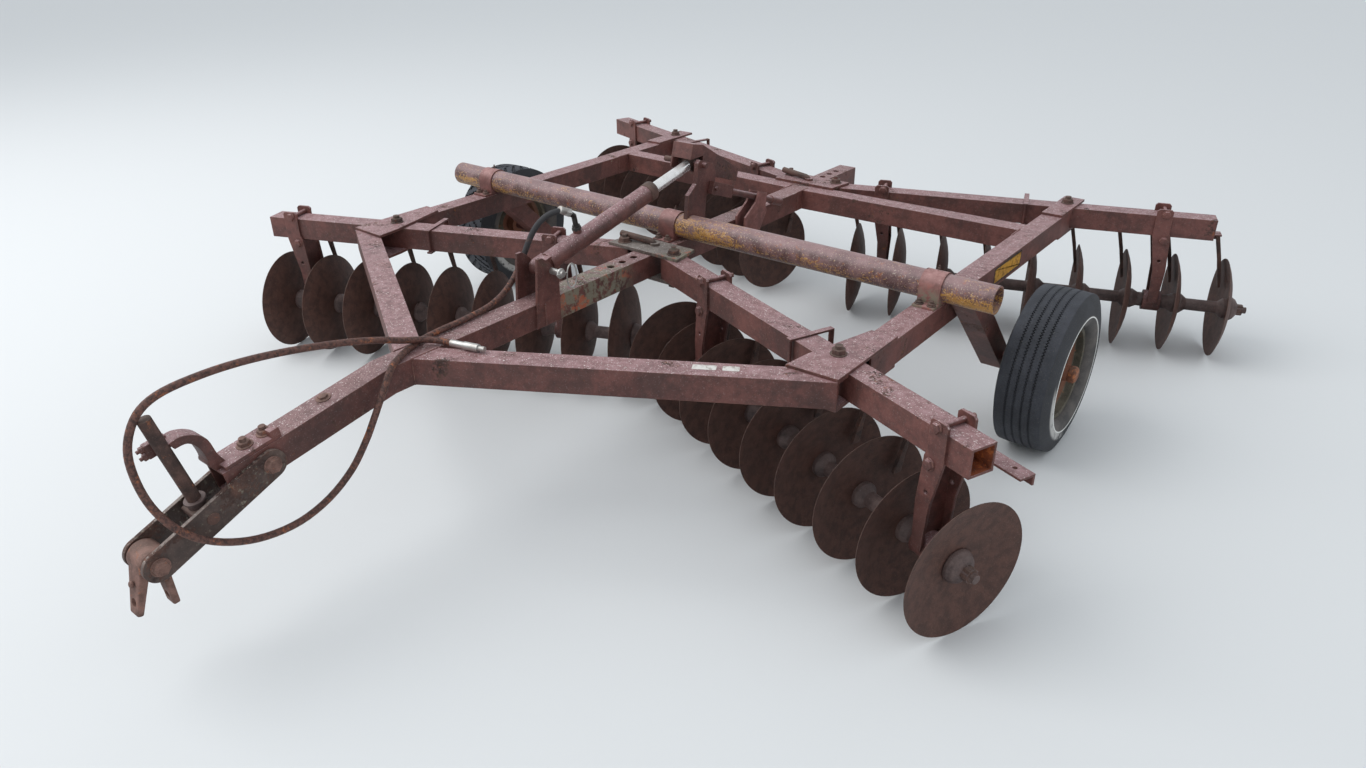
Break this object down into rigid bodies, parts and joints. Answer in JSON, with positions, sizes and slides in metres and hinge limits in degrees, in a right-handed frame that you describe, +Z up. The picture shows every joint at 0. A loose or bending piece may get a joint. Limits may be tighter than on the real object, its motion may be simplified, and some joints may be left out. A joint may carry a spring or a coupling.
{
  "type": "disc harrow",
  "caption": "Trailed tandem disc harrow: four angled disc gangs under a square-tube frame, carried on two road wheels on a hydraulic lift shaft, with a hinged drawbar clevis.",
  "frame": {"origin": "on the ground below the middle of the whole harrow's box", "axes": "-Y towards the hitch, +X towards the implement's own left side, +Z up"},
  "size_m": [4.3546, 4.7477, 1.1486],
  "materials": {
    "faded_maroon": "faded and rust-stained paint",
    "red_oxide": "chalky red oxide paint",
    "worn_yellow": "worn yellow paint over rust",
    "rusty_steel": "rusted",
    "disc_steel": "fine dark rust",
    "rim_steel": "rust-stained",
    "chrome": "polished",
    "plated_steel": "dull zinc plate",
    "tyre": "dusty",
    "rubber": "weathered"
  },
  "bodies": {
    "frame": {"centre_tube": "faded_maroon", "brace_left": "faded_maroon", "brace_right": "faded_maroon", "rail_left": "faded_maroon", "rail_right": "faded_maroon", "cross_arms": "faded_maroon", "front_plates": "faded_maroon", "rear_plates": "faded_maroon", "pivot_bolts": "rusty_steel", "cylinder_lugs": "faded_maroon", "shaft_bearings": "red_oxide", "front_adjuster": "faded_maroon", "rear_adjuster": "faded_maroon", "stop_ears": "faded_maroon", "beam_front_left": "faded_maroon", "beam_front_right": "faded_maroon", "beam_rear_left": "faded_maroon", "beam_rear_right": "faded_maroon", "standards_front_left": "faded_maroon", "standards_front_right": "faded_maroon", "standards_rear_left": "faded_maroon", "standards_rear_right": "faded_maroon", "scraper_bars": "rusty_steel", "scrapers_front_left": "rusty_steel", "scrapers_front_right": "rusty_steel", "scrapers_rear_left": "rusty_steel", "scrapers_rear_right": "rusty_steel", "base_pin": "plated_steel", "hitch_plates": "faded_maroon", "hitch_bracket": "faded_maroon", "level_rod": "rusty_steel", "hose": "rubber", "hose_coupler": "plated_steel"},
    "gang_front_left": {"arbor_front_left": "rusty_steel", "discs_front_left": "disc_steel"},
    "gang_front_right": {"arbor_front_right": "rusty_steel", "discs_front_right": "disc_steel"},
    "gang_rear_left": {"arbor_rear_left": "rusty_steel", "discs_rear_left": "disc_steel"},
    "gang_rear_right": {"arbor_rear_right": "rusty_steel", "discs_rear_right": "disc_steel"},
    "lift": {"rockshaft": "worn_yellow", "lift_lever": "faded_maroon", "lift_arm_left": "faded_maroon", "lift_arm_right": "faded_maroon"},
    "wheel_left": {"tyre_left": "tyre", "rim_left": "rim_steel"},
    "wheel_right": {"tyre_right": "tyre", "rim_right": "rim_steel"},
    "barrel": {"cylinder_barrel": "faded_maroon", "hose_elbow": "plated_steel"},
    "rod": {"cylinder_rod": "chrome", "rod_eye": "rusty_steel"},
    "lock": {"transport_lock": "faded_maroon"},
    "stop": {"stop_rod": "rusty_steel"},
    "clevis": {"clevis": "faded_maroon"}
  },
  "joints": [
    {"name": "gang_front_left_spin", "type": "hinge", "parent": "frame", "child": "gang_front_left", "pos_m": [1.24, -0.397, 0.25], "axis": [0.9245, -0.3811, 0], "continuous": true},
    {"name": "gang_front_right_spin", "type": "hinge", "parent": "frame", "child": "gang_front_right", "pos_m": [-1.24, -0.397, 0.25], "axis": [0.9245, 0.3811, 0], "continuous": true},
    {"name": "gang_rear_left_spin", "type": "hinge", "parent": "frame", "child": "gang_rear_left", "pos_m": [1.287, 1.88, 0.25], "axis": [0.9478, 0.319, 0], "continuous": true},
    {"name": "gang_rear_right_spin", "type": "hinge", "parent": "frame", "child": "gang_rear_right", "pos_m": [-1.287, 1.88, 0.25], "axis": [0.9478, -0.319, 0], "continuous": true},
    {"name": "lift_turn", "type": "hinge", "parent": "frame", "child": "lift", "pos_m": [0, 0.284, 0.777], "axis": [-1, 0, 0], "range_deg": [-16, 33]},
    {"name": "wheel_left_spin", "type": "hinge", "parent": "lift", "child": "wheel_left", "pos_m": [1.654, 0.72, 0.35], "axis": [1, 0, 0], "continuous": true},
    {"name": "wheel_right_spin", "type": "hinge", "parent": "lift", "child": "wheel_right", "pos_m": [-1.654, 0.72, 0.35], "axis": [1, 0, 0], "continuous": true},
    {"name": "barrel_tilt", "type": "hinge", "parent": "frame", "child": "barrel", "pos_m": [0, -0.621, 0.836], "axis": [-1, 0, 0], "range_deg": [-3, 6], "deforming": ["hose"]},
    {"name": "rod_slide", "type": "slide", "parent": "barrel", "child": "rod", "axis": [0, 0.9774, 0.2115], "range_m": [-0.066, 0.132]},
    {"name": "lock_hang", "type": "hinge", "parent": "rod", "child": "lock", "pos_m": [0, 0.37078, 1.05057], "axis": [-1, 0, 0], "range_deg": [-6, 3]},
    {"name": "stop_rod_turn", "type": "hinge", "parent": "lift", "child": "stop", "pos_m": [0.085, 0.434, 0.932], "axis": [-1, 0, 0], "range_deg": [-43, 21]},
    {"name": "clevis_swing", "type": "hinge", "parent": "frame", "child": "clevis", "pos_m": [0, -2.2871, 0.41448], "axis": [1, 0, 0], "range_deg": [-40, 25]}
  ],
  "couplings": [
    {"joint": "barrel_tilt", "follows": "lift_turn", "ratio": 0.165},
    {"joint": "rod_slide", "follows": "lift_turn", "m_per_rad": 0.225},
    {"joint": "lock_hang", "follows": "lift_turn", "ratio": -0.165},
    {"joint": "stop_rod_turn", "follows": "lift_turn", "ratio": -1.3}
  ]
}
